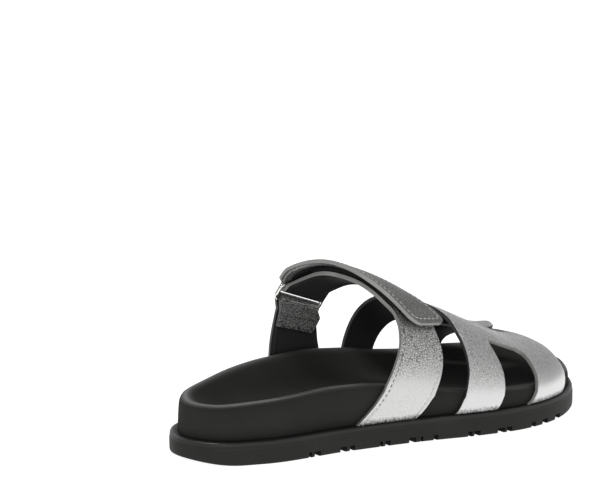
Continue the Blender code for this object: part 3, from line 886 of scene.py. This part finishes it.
def make_front_upper():
    lines = columns(FRONT_UPPER)
    lateral = np.linspace(-1, LATERAL_CUT, 52)
    bridge = np.linspace(LATERAL_CUT, MEDIAL_CUT, 30)[1:]
    medial = np.linspace(MEDIAL_CUT, 1, 64)[1:]
    girths = np.concatenate([lateral, bridge, medial])
    shares = np.concatenate([np.linspace(0, 1, 17), np.linspace(1, 2, 9)[1:], np.linspace(2, 3, 17)[1:]])
    rows = []
    for girth in girths:
        *edges, lift = [float(line(girth)) for line in lines]
        curl = [max(1 - abs(share - 1) / CURL_REACH, 0.0) ** 2 for share in shares]
        along = np.interp(shares, range(4), edges)
        rows.append([lifted_point(a, girth, lift * c + crease(a, girth)) for a, c in zip(along, curl)])

    def kept(row, column):
        middle = (girths[row] + girths[row + 1]) / 2
        between = 1 < (shares[column] + shares[column + 1]) / 2 < 2
        return not between or LATERAL_CUT < middle < MEDIAL_CUT

    def slot_of(row, column):
        """The upper and front edges of the cut-outs have their own slots, since their paint is paler."""
        beside_cut = LATERAL_CUT == girths[row] or MEDIAL_CUT == girths[row + 1]
        above = beside_cut and 1 <= shares[column] < 2
        return CUT_SLOT if above or shares[column] == 2.0 else 0

    mesh = leather_sheet(np.array(rows), kept, slot_of)
    # Three slots each for the bands and for the edges of the cut-outs: face, far side and cut edge
    finishes = [fine_silver, lining, dark_paint]
    finishes += [fine_silver, lining, pale_paint]
    piece = add_piece("front_bands", mesh, finishes, "front_upper", "front_upper")
    thicken(piece)


make_front_upper()

# %% [markdown]
# ## Instep strap
# The strap starts at the lateral wall, crosses the instep, turns through the ring and comes back over
# itself as a flap with a squared end. Its edges are stitched, so the leather sinks a little along the seam.

# %% Charted bands
SEAM = 2.4
SEAM_DEPTH = 0.3
SEAM_HALF = 0.9
EDGE_STEPS = [0.0, 0.8, 1.5, 2.0, 2.4, 2.8, 3.4, 4.4]
INNER_STEPS = 9
CORNER_STEPS = [1.0, 0.8, 0.62, 0.45, 0.3, 0.18, 0.1, 0.04, 0.0]


def band_curves(table):
    """Curves of a band's edges and lift against its run from 0 to 1."""
    return columns(np.column_stack([np.linspace(0, 1, len(table)), np.array(table)]))


def band_place(curves, run, share):
    """Place along, girth and lift at a share of a band's width."""
    values = np.array([float(curve(run)) for curve in curves])
    rear, front = values[[0, 1, 4]], values[[2, 3, 5]]
    return rear + share * (front - rear)


def on_band(curves, run, share, extra=0.0):
    """Point on a band at a share of its width, with extra lift."""
    along, girth, lift = band_place(curves, run, share)
    return lifted_point(along, girth, lift + extra)


def band_width(curves, run):
    return np.linalg.norm(on_band(curves, run, 1.0) - on_band(curves, run, 0.0))


def band_length(curves):
    points = [on_band(curves, run, 0.5) for run in np.linspace(0, 1, 40)]
    return np.linalg.norm(np.diff(points, axis=0), axis=1).sum()


def across_steps(width):
    """Places across a width, close together along the seams of both edges."""
    steps = np.array(EDGE_STEPS)
    inner = np.linspace(steps[-1], width - steps[-1], INNER_STEPS + 2)[1:-1]
    return np.concatenate([steps, inner, width - steps[::-1]])


def band_rows(curves, count, sink, corner=0.0):
    """Rows of points over a band, sunk along its seams. A corner rounds off the two ends of the last row."""
    length = band_length(curves)
    run = np.linspace(0, 1, count)
    if corner:
        close = corner * np.array(CORNER_STEPS)
        run = np.concatenate([np.linspace(0, 1 - close[0] / length, count)[:-1], 1 - close / length])
    rows = []
    for t in run:
        full_width = band_width(curves, t)
        left = max(corner - (1 - t) * length, 0.0)
        margin = corner - math.sqrt(corner**2 - left**2)
        width = full_width - 2 * margin
        row = []
        for step in across_steps(width):
            side = min(step, width - step)
            if corner:
                side = min(side, (1 - t) * length)
            dip = max(1 - abs(side - SEAM) / SEAM_HALF, 0.0) ** 2 * SEAM_DEPTH * sink
            row.append(on_band(curves, t, (step + margin) / full_width, -dip))
        rows.append(row)
    return np.array(rows)


print("points across a band:", len(across_steps(30.0)))


# %% Ring place
RING_WIRE = 1.1
RING_STRAP = 27.4
FOLD_GAP = 0.8
FOLD_RADIUS = RING_WIRE + CLEARANCE + LEATHER
BAR_OFFSET = FOLD_RADIUS + FOLD_GAP / 2
FOLD_STEPS = 19
RING_ENDS = [
    # along, girth
    (84.0, 0.41),
    (112.0, 0.465),
]


def ring_frame():
    """Middle of the ring, with its directions along it, down the instep and outwards."""
    rear, front = [last_point(*end) for end in RING_ENDS]
    along = unit(front - rear)
    girth = sum(end[1] for end in RING_ENDS) / 2
    middle = sum(end[0] for end in RING_ENDS) / 2
    down = last_point(middle, girth + 0.05) - last_point(middle, girth - 0.05)
    down = unit(down - along * down.dot(along))
    outward = np.cross(along, down)
    return (rear + front) / 2 + outward * FOLD_RADIUS, along, down, outward


RING_MIDDLE, RING_ALONG, RING_DOWN, RING_OUT = ring_frame()


def fold_rows(bar, start, turn):
    """Rows round a bar of the ring, from the start direction through the turn to the far side."""
    shares = across_steps(RING_STRAP) / RING_STRAP
    rows = []
    for angle in np.linspace(0, math.pi, FOLD_STEPS):
        arm = FOLD_RADIUS * (math.cos(angle) * start + math.sin(angle) * turn)
        rows.append([bar + arm + RING_ALONG * RING_STRAP * (share - 0.5) for share in shares])
    return np.array(rows)


print("ring middle, mm:", RING_MIDDLE.round(1))

# %% Instep strap
STRAP_LOWER = [
    # girth, rear along, front along
    (-1.00, 89.5, 124.2),
    (-0.93, 95.2, 128.6),
    (-0.87, 99.6, 131.2),
    (-0.81, 103.0, 133.3),
    (-0.75, 106.0, 135.4),
    (-0.68, 110.7, 138.5),
    (-0.60, 115.2, 141.0),
    (-0.54, 117.9, 142.0),
    (-0.48, 119.6, 142.4),
    (-0.42, 120.8, 142.5),
    (-0.36, 121.0, 142.6),
    (-0.28, 118.0, 142.4),
    (-0.20, 115.4, 141.0),
    (-0.12, 113.0, 138.0),
    (-0.03, 109.0, 134.0),
    (0.06, 103.6, 128.5),
    (0.14, 100.0, 124.0),
    (0.22, 96.2, 120.5),
    (0.29, 91.5, 117.0),
    (0.34, 87.2, 113.5),
]
STRAP_FLAP = [
    # rear along, rear girth, front along, front girth, rear lift, front lift
    (83.5, 0.340, 110.5, 0.360, 7.4, 7.4),
    (85.2, 0.270, 111.5, 0.285, 7.6, 7.4),
    (89.6, 0.200, 114.0, 0.205, 7.6, 7.2),
    (94.6, 0.130, 118.0, 0.130, 7.8, 7.0),
    (99.2, 0.060, 122.0, 0.060, 8.0, 6.8),
    (102.9, -0.020, 125.5, -0.010, 8.2, 6.6),
    (106.0, -0.100, 129.2, -0.075, 8.4, 6.4),
    (109.4, -0.180, 133.2, -0.140, 8.5, 6.4),
    (114.0, -0.255, 138.6, -0.210, 8.5, 6.6),
    (120.2, -0.345, 144.2, -0.290, 8.2, 6.8),
    (127.0, -0.435, 148.0, -0.370, 7.6, 7.0),
]
FLAP_CORNER = 5.0
FLAP_SLOT = 3
FLAP_EDGE_SLOT = 6
STRAP_CURVES = band_curves([(rear, girth, front, girth, 0.0, 0.0) for girth, rear, front in STRAP_LOWER])
FLAP_CURVES = band_curves(STRAP_FLAP)


def make_instep_strap():
    lower = band_rows(STRAP_CURVES, 84, 1.0)
    fold = fold_rows(RING_MIDDLE - BAR_OFFSET * RING_DOWN, -RING_OUT, RING_DOWN)
    flap = band_rows(FLAP_CURVES, 60, 1.0, FLAP_CORNER)
    rows = np.concatenate([lower, fold, flap])
    last_column = rows.shape[1] - 2

    def slot_of(row, column):
        """Past the middle of the fold the flap's slots take over, its skin turned in along both edges."""
        if row < len(lower) + len(fold) // 2:
            return 0
        return FLAP_EDGE_SLOT if min(column, last_column - column) < len(EDGE_STEPS) else FLAP_SLOT

    mesh = leather_sheet(rows, slot_of=slot_of)
    # Three slots each for the band, the flap and the flap's edges: face, far side and cut edge
    finishes = [silver, lining, pale_paint]
    # The flap's silver takes the darker copy of the foil, as painted shade and dark reflection
    finishes += [lining, shaded_flap_silver, bead_paint]
    finishes += [shaded_flap_silver, shaded_flap_silver, bead_paint]
    piece = add_piece("folded_strap", mesh, finishes, "instep_strap", "instep_strap")
    thicken(piece)


make_instep_strap()

# %% [markdown]
# ## Ring tab
# On the medial side a tab of the same leather comes up from the wall, turns over the lower bar of the ring
# and ends inside, where a stitched square holds its end.

# %% Ring tab
TAB_OUTER = [
    # rear along, rear girth, front along, front girth, rear lift, front lift
    (74.0, 1.00, 114.0, 1.00, 2.2, 2.2),
    (77.0, 0.87, 113.2, 0.87, 2.4, 2.4),
    (79.5, 0.76, 112.6, 0.76, 3.2, 3.2),
    (80.8, 0.70, 112.2, 0.70, 4.3, 4.3),
    (82.0, 0.65, 112.0, 0.65, 5.0, 5.0),
    (83.4, 0.59, 111.7, 0.61, 5.6, 5.6),
    (84.8, 0.53, 111.4, 0.56, 6.4, 6.4),
]
TAB_INNER = [
    # rear along, rear girth, front along, front girth, rear lift, front lift
    (84.8, 0.53, 111.4, 0.56, 0.1, 0.1),
    (84.2, 0.57, 109.6, 0.605, 0.2, 0.2),
    (83.4, 0.61, 106.4, 0.655, 0.2, 0.2),
]
TAB_CURVES = band_curves(TAB_OUTER)
TAB_END_CURVES = band_curves(TAB_INNER)


def make_ring_tab():
    outer = band_rows(TAB_CURVES, 46, 1.0)
    fold = fold_rows(RING_MIDDLE + BAR_OFFSET * RING_DOWN, RING_OUT, -RING_DOWN)
    inner = band_rows(TAB_END_CURVES, 16, 0.0)
    mesh = leather_sheet(np.concatenate([outer, fold, inner]))
    # The tab's silver takes the darker copy of the foil, as painted shade from the flap and strap above it
    piece = add_piece("folded_tab", mesh, [lining, shaded_tab_silver, dark_paint], "ring_tab", "ring_tab")
    thicken(piece)


make_ring_tab()

# %% [markdown]
# ## Ring
# The ring is a bent wire of polished nickel. A closed curve with a round bevel makes it.

# %% Polished nickel
def polished_nickel():
    """Nickel plate: a clear mirror, warm grey, with hairline scratches from wear."""
    material, shader = new_material("polished_nickel", {"Base Color": srgb("e9e8e4"), "Metallic": 1.0})
    # Scratched patches of about 1.1 mm
    haze = {"To Min": 0.05, "To Max": 0.14}
    scratch = {"Value": cloud(material, 900.0, 3.0)}
    rough = add_node(material, "ShaderNodeMapRange", sockets=haze, links=scratch)
    material.node_tree.links.new(rough.outputs["Result"], shader.inputs["Roughness"])
    return material


nickel = polished_nickel()
print("ring metal:", nickel.name)

# %% Ring
CORNER_SHARE = 0.55


def ring_path():
    """Points round the ring's middle line."""
    half_length = RING_STRAP / 2 + 2 * CLEARANCE + RING_WIRE
    corner = BAR_OFFSET * CORNER_SHARE
    points = []
    for side_along, side_down in ((1, 1), (1, -1), (-1, -1), (-1, 1)):
        hub = RING_MIDDLE + RING_ALONG * side_along * (half_length - corner)
        hub = hub + RING_DOWN * side_down * (BAR_OFFSET - corner)
        first, second = RING_DOWN * side_down, RING_ALONG * side_along
        if side_along != side_down:
            first, second = second, first
        for angle in np.linspace(0, math.pi / 2, 14):
            points.append(hub + corner * (math.cos(angle) * first + math.sin(angle) * second))
    return points


def make_ring():
    curve = bpy.data.curves.new("ring_wire", "CURVE")
    curve.dimensions = "3D"
    curve.bevel_depth = RING_WIRE * MM
    curve.bevel_resolution = 6
    points = place(ring_path())
    wire = curve.splines.new("POLY")
    wire.points.add(len(points) - 1)
    for target, point in zip(wire.points, points):
        target.co = (*point, 1.0)
    wire.use_cyclic_u = True
    guide = new_object("ring_wire", curve)
    mesh = bmesh.new()
    mesh.from_mesh(baked(guide))
    bpy.data.objects.remove(guide)
    add_piece("polished_ring", mesh, [nickel], "ring", "ring")


make_ring()

# %% [markdown]
# ## Stitches
# Each stitch is a short grain of twisted thread that lies in the sunk seam. A small sphere is stretched
# along the seam's direction for each one. The thread is pale on the flap and on the strap's front edge; at
# the strap's rear edge and on the tab the same thread is painted darker, as shade.

# %% Thread
def twisted_thread(name, low, high):
    """Polyester thread: a soft lustre, with a twist of about 0.4 mm drawn as bands."""
    material, shader = new_material(name, {"Roughness": 0.5})
    spot = {"Vector": add_node(material, "ShaderNodeTexCoord").outputs["Object"]}
    bands = {"Scale": 800.0, "Distortion": 1.0}
    twist = add_node(material, "ShaderNodeTexWave", {"bands_direction": "DIAGONAL"}, bands, spot)
    two_tones(material, shader, low, high, twist.outputs["Fac"])
    return material


pale_thread = twisted_thread("pale_thread", "b4b4b1", "e2e2de")
# Painted shade: darker copies of the pale thread for the strap's rear edge and for the tab
rear_shade_thread = twisted_thread("rear_shade_thread", "555553", "7b7b78")
tab_shade_thread = twisted_thread("shaded_thread_of_tab", "2c2c2b", "474745")
print("threads:", pale_thread.name, rear_shade_thread.name, tab_shade_thread.name)

# %% Rows of stitches
STITCH_PITCH = 2.9
STITCH_LENGTH = 2.1
THREAD = 0.32


def sew(mesh, path):
    """Adds stitches along a path of points."""
    path = np.array(path)
    travel = np.concatenate([[0.0], np.cumsum(np.linalg.norm(np.diff(path, axis=0), axis=1))])
    count = int(travel[-1] / STITCH_PITCH)
    for number in range(count):
        middle = (number + 0.5) * travel[-1] / count
        span = (middle - STITCH_LENGTH / 2, middle + STITCH_LENGTH / 2)
        ends = [[np.interp(at, travel, axis) for axis in path.T] for at in span]
        start, end = [Vector(point) for point in place(ends)]
        turn = (end - start).to_track_quat("X", "Z").to_matrix().to_4x4()
        shape = Matrix.Diagonal((STITCH_LENGTH / 2 * MM, THREAD * MM, THREAD * MM, 1.0))
        matrix = Matrix.Translation((start + end) / 2) @ turn @ shape
        bmesh.ops.create_uvsphere(mesh, u_segments=8, v_segments=6, radius=1.0, matrix=matrix)


def edge_path(curves, start, end, side, extra):
    """Points along a seam near one edge of a band."""
    points = []
    for run in np.linspace(start, end, 60):
        share = SEAM / band_width(curves, run)
        points.append(on_band(curves, run, share if side == "rear" else 1 - share, extra))
    return points


# %% Stitches of the strap, flap and tab
BAND_RUN = (0.03, 0.97)
STRAP_STITCH_LIFT = LEATHER - SEAM_DEPTH + 0.18
FLAP_STITCH_LIFT = -SEAM_DEPTH + 0.25
TAB_STITCH_LIFT = -SEAM_DEPTH + 0.12
TAB_END_LIFT = -0.25
FLAP_START = 0.02
FLAP_TURN = 0.012
TAB_SQUARE = [
    # run, share
    (0.25, 0.09),
    (0.9, 0.09),
    (0.9, 0.91),
    (0.25, 0.91),
    (0.25, 0.09),
]


def sew_strap():
    for side, thread in (("rear", rear_shade_thread), ("front", pale_thread)):
        mesh = bmesh.new()
        sew(mesh, edge_path(STRAP_CURVES, *BAND_RUN, side, STRAP_STITCH_LIFT))
        add_piece("strap_" + side + "_stitches", mesh, [thread], "instep_strap")


def sew_flap():
    mesh = bmesh.new()
    last = 1 - SEAM / band_length(FLAP_CURVES)
    path = edge_path(FLAP_CURVES, FLAP_START, last - FLAP_TURN, "rear", FLAP_STITCH_LIFT)
    share = SEAM / band_width(FLAP_CURVES, last)
    for at in np.linspace(2 * share, 1 - 2 * share, 16):
        path.append(on_band(FLAP_CURVES, last, at, FLAP_STITCH_LIFT))
    path += edge_path(FLAP_CURVES, last - FLAP_TURN, FLAP_START, "front", FLAP_STITCH_LIFT)
    sew(mesh, path)
    add_piece("flap_stitches", mesh, [pale_thread], "instep_strap")


def sew_tab():
    mesh = bmesh.new()
    for side in ("rear", "front"):
        sew(mesh, edge_path(TAB_CURVES, *BAND_RUN, side, TAB_STITCH_LIFT))
    corners = np.array(TAB_SQUARE)
    for start, end in zip(corners, corners[1:]):
        places = [start + step * (end - start) for step in np.linspace(0, 1, 20)]
        sew(mesh, [on_band(TAB_END_CURVES, run, share, TAB_END_LIFT) for run, share in places])
    add_piece("tab_stitches", mesh, [tab_shade_thread], "ring_tab")


sew_strap()
sew_flap()
sew_tab()

# %% [markdown]
# ## Tape pads
# Hook and loop tape between the strap's two layers holds the flap down. From the side it is a black layer,
# a little inside the edges.

# %% Tape pads
TAPE_START = 0.2
TAPE_RUN = 0.68
TAPE_MARGIN = 1.2
TAPE_GAP = 0.1


def tape():
    """Woven tape with a cut pile: black, fully rough."""
    return grained_skin("black_pile_tape", "0b0b0b", "1a1a1a", 0.95, 0.5, 0.6)


def tape_span(run):
    """Shares of the flap's width that lie over the strap below."""
    girths, rears, fronts = np.array(STRAP_LOWER).T
    shares = np.linspace(0.05, 0.95, 60)
    along, girth = band_place(FLAP_CURVES, run, shares[:, None]).T[:2]
    past_rear = along > np.interp(girth, girths, rears) + TAPE_MARGIN
    over = past_rear & (along < np.interp(girth, girths, fronts) - TAPE_MARGIN)
    return shares[over].min(), shares[over].max()


def make_tape_pads():
    mesh = bmesh.new()
    bmesh.ops.create_grid(mesh, x_segments=10, y_segments=34, size=1.0)
    grown = bmesh.ops.extrude_face_region(mesh, geom=mesh.faces[:])["geom"]
    below = {vertex for vertex in grown if isinstance(vertex, bmesh.types.BMVert)}
    for vertex in mesh.verts:
        run = TAPE_START + TAPE_RUN * (vertex.co.y + 1) / 2
        first, last = tape_span(run)
        share = first + (last - first) * (vertex.co.x + 1) / 2
        along, girth, lift = band_place(FLAP_CURVES, run, share)
        height = LEATHER + TAPE_GAP if vertex in below else lift - LEATHER - TAPE_GAP
        vertex.co = place(lifted_point(along, girth, height))
    bmesh.ops.recalc_face_normals(mesh, faces=mesh.faces)
    add_piece("tape_pads", mesh, [tape()], "instep_strap")


make_tape_pads()
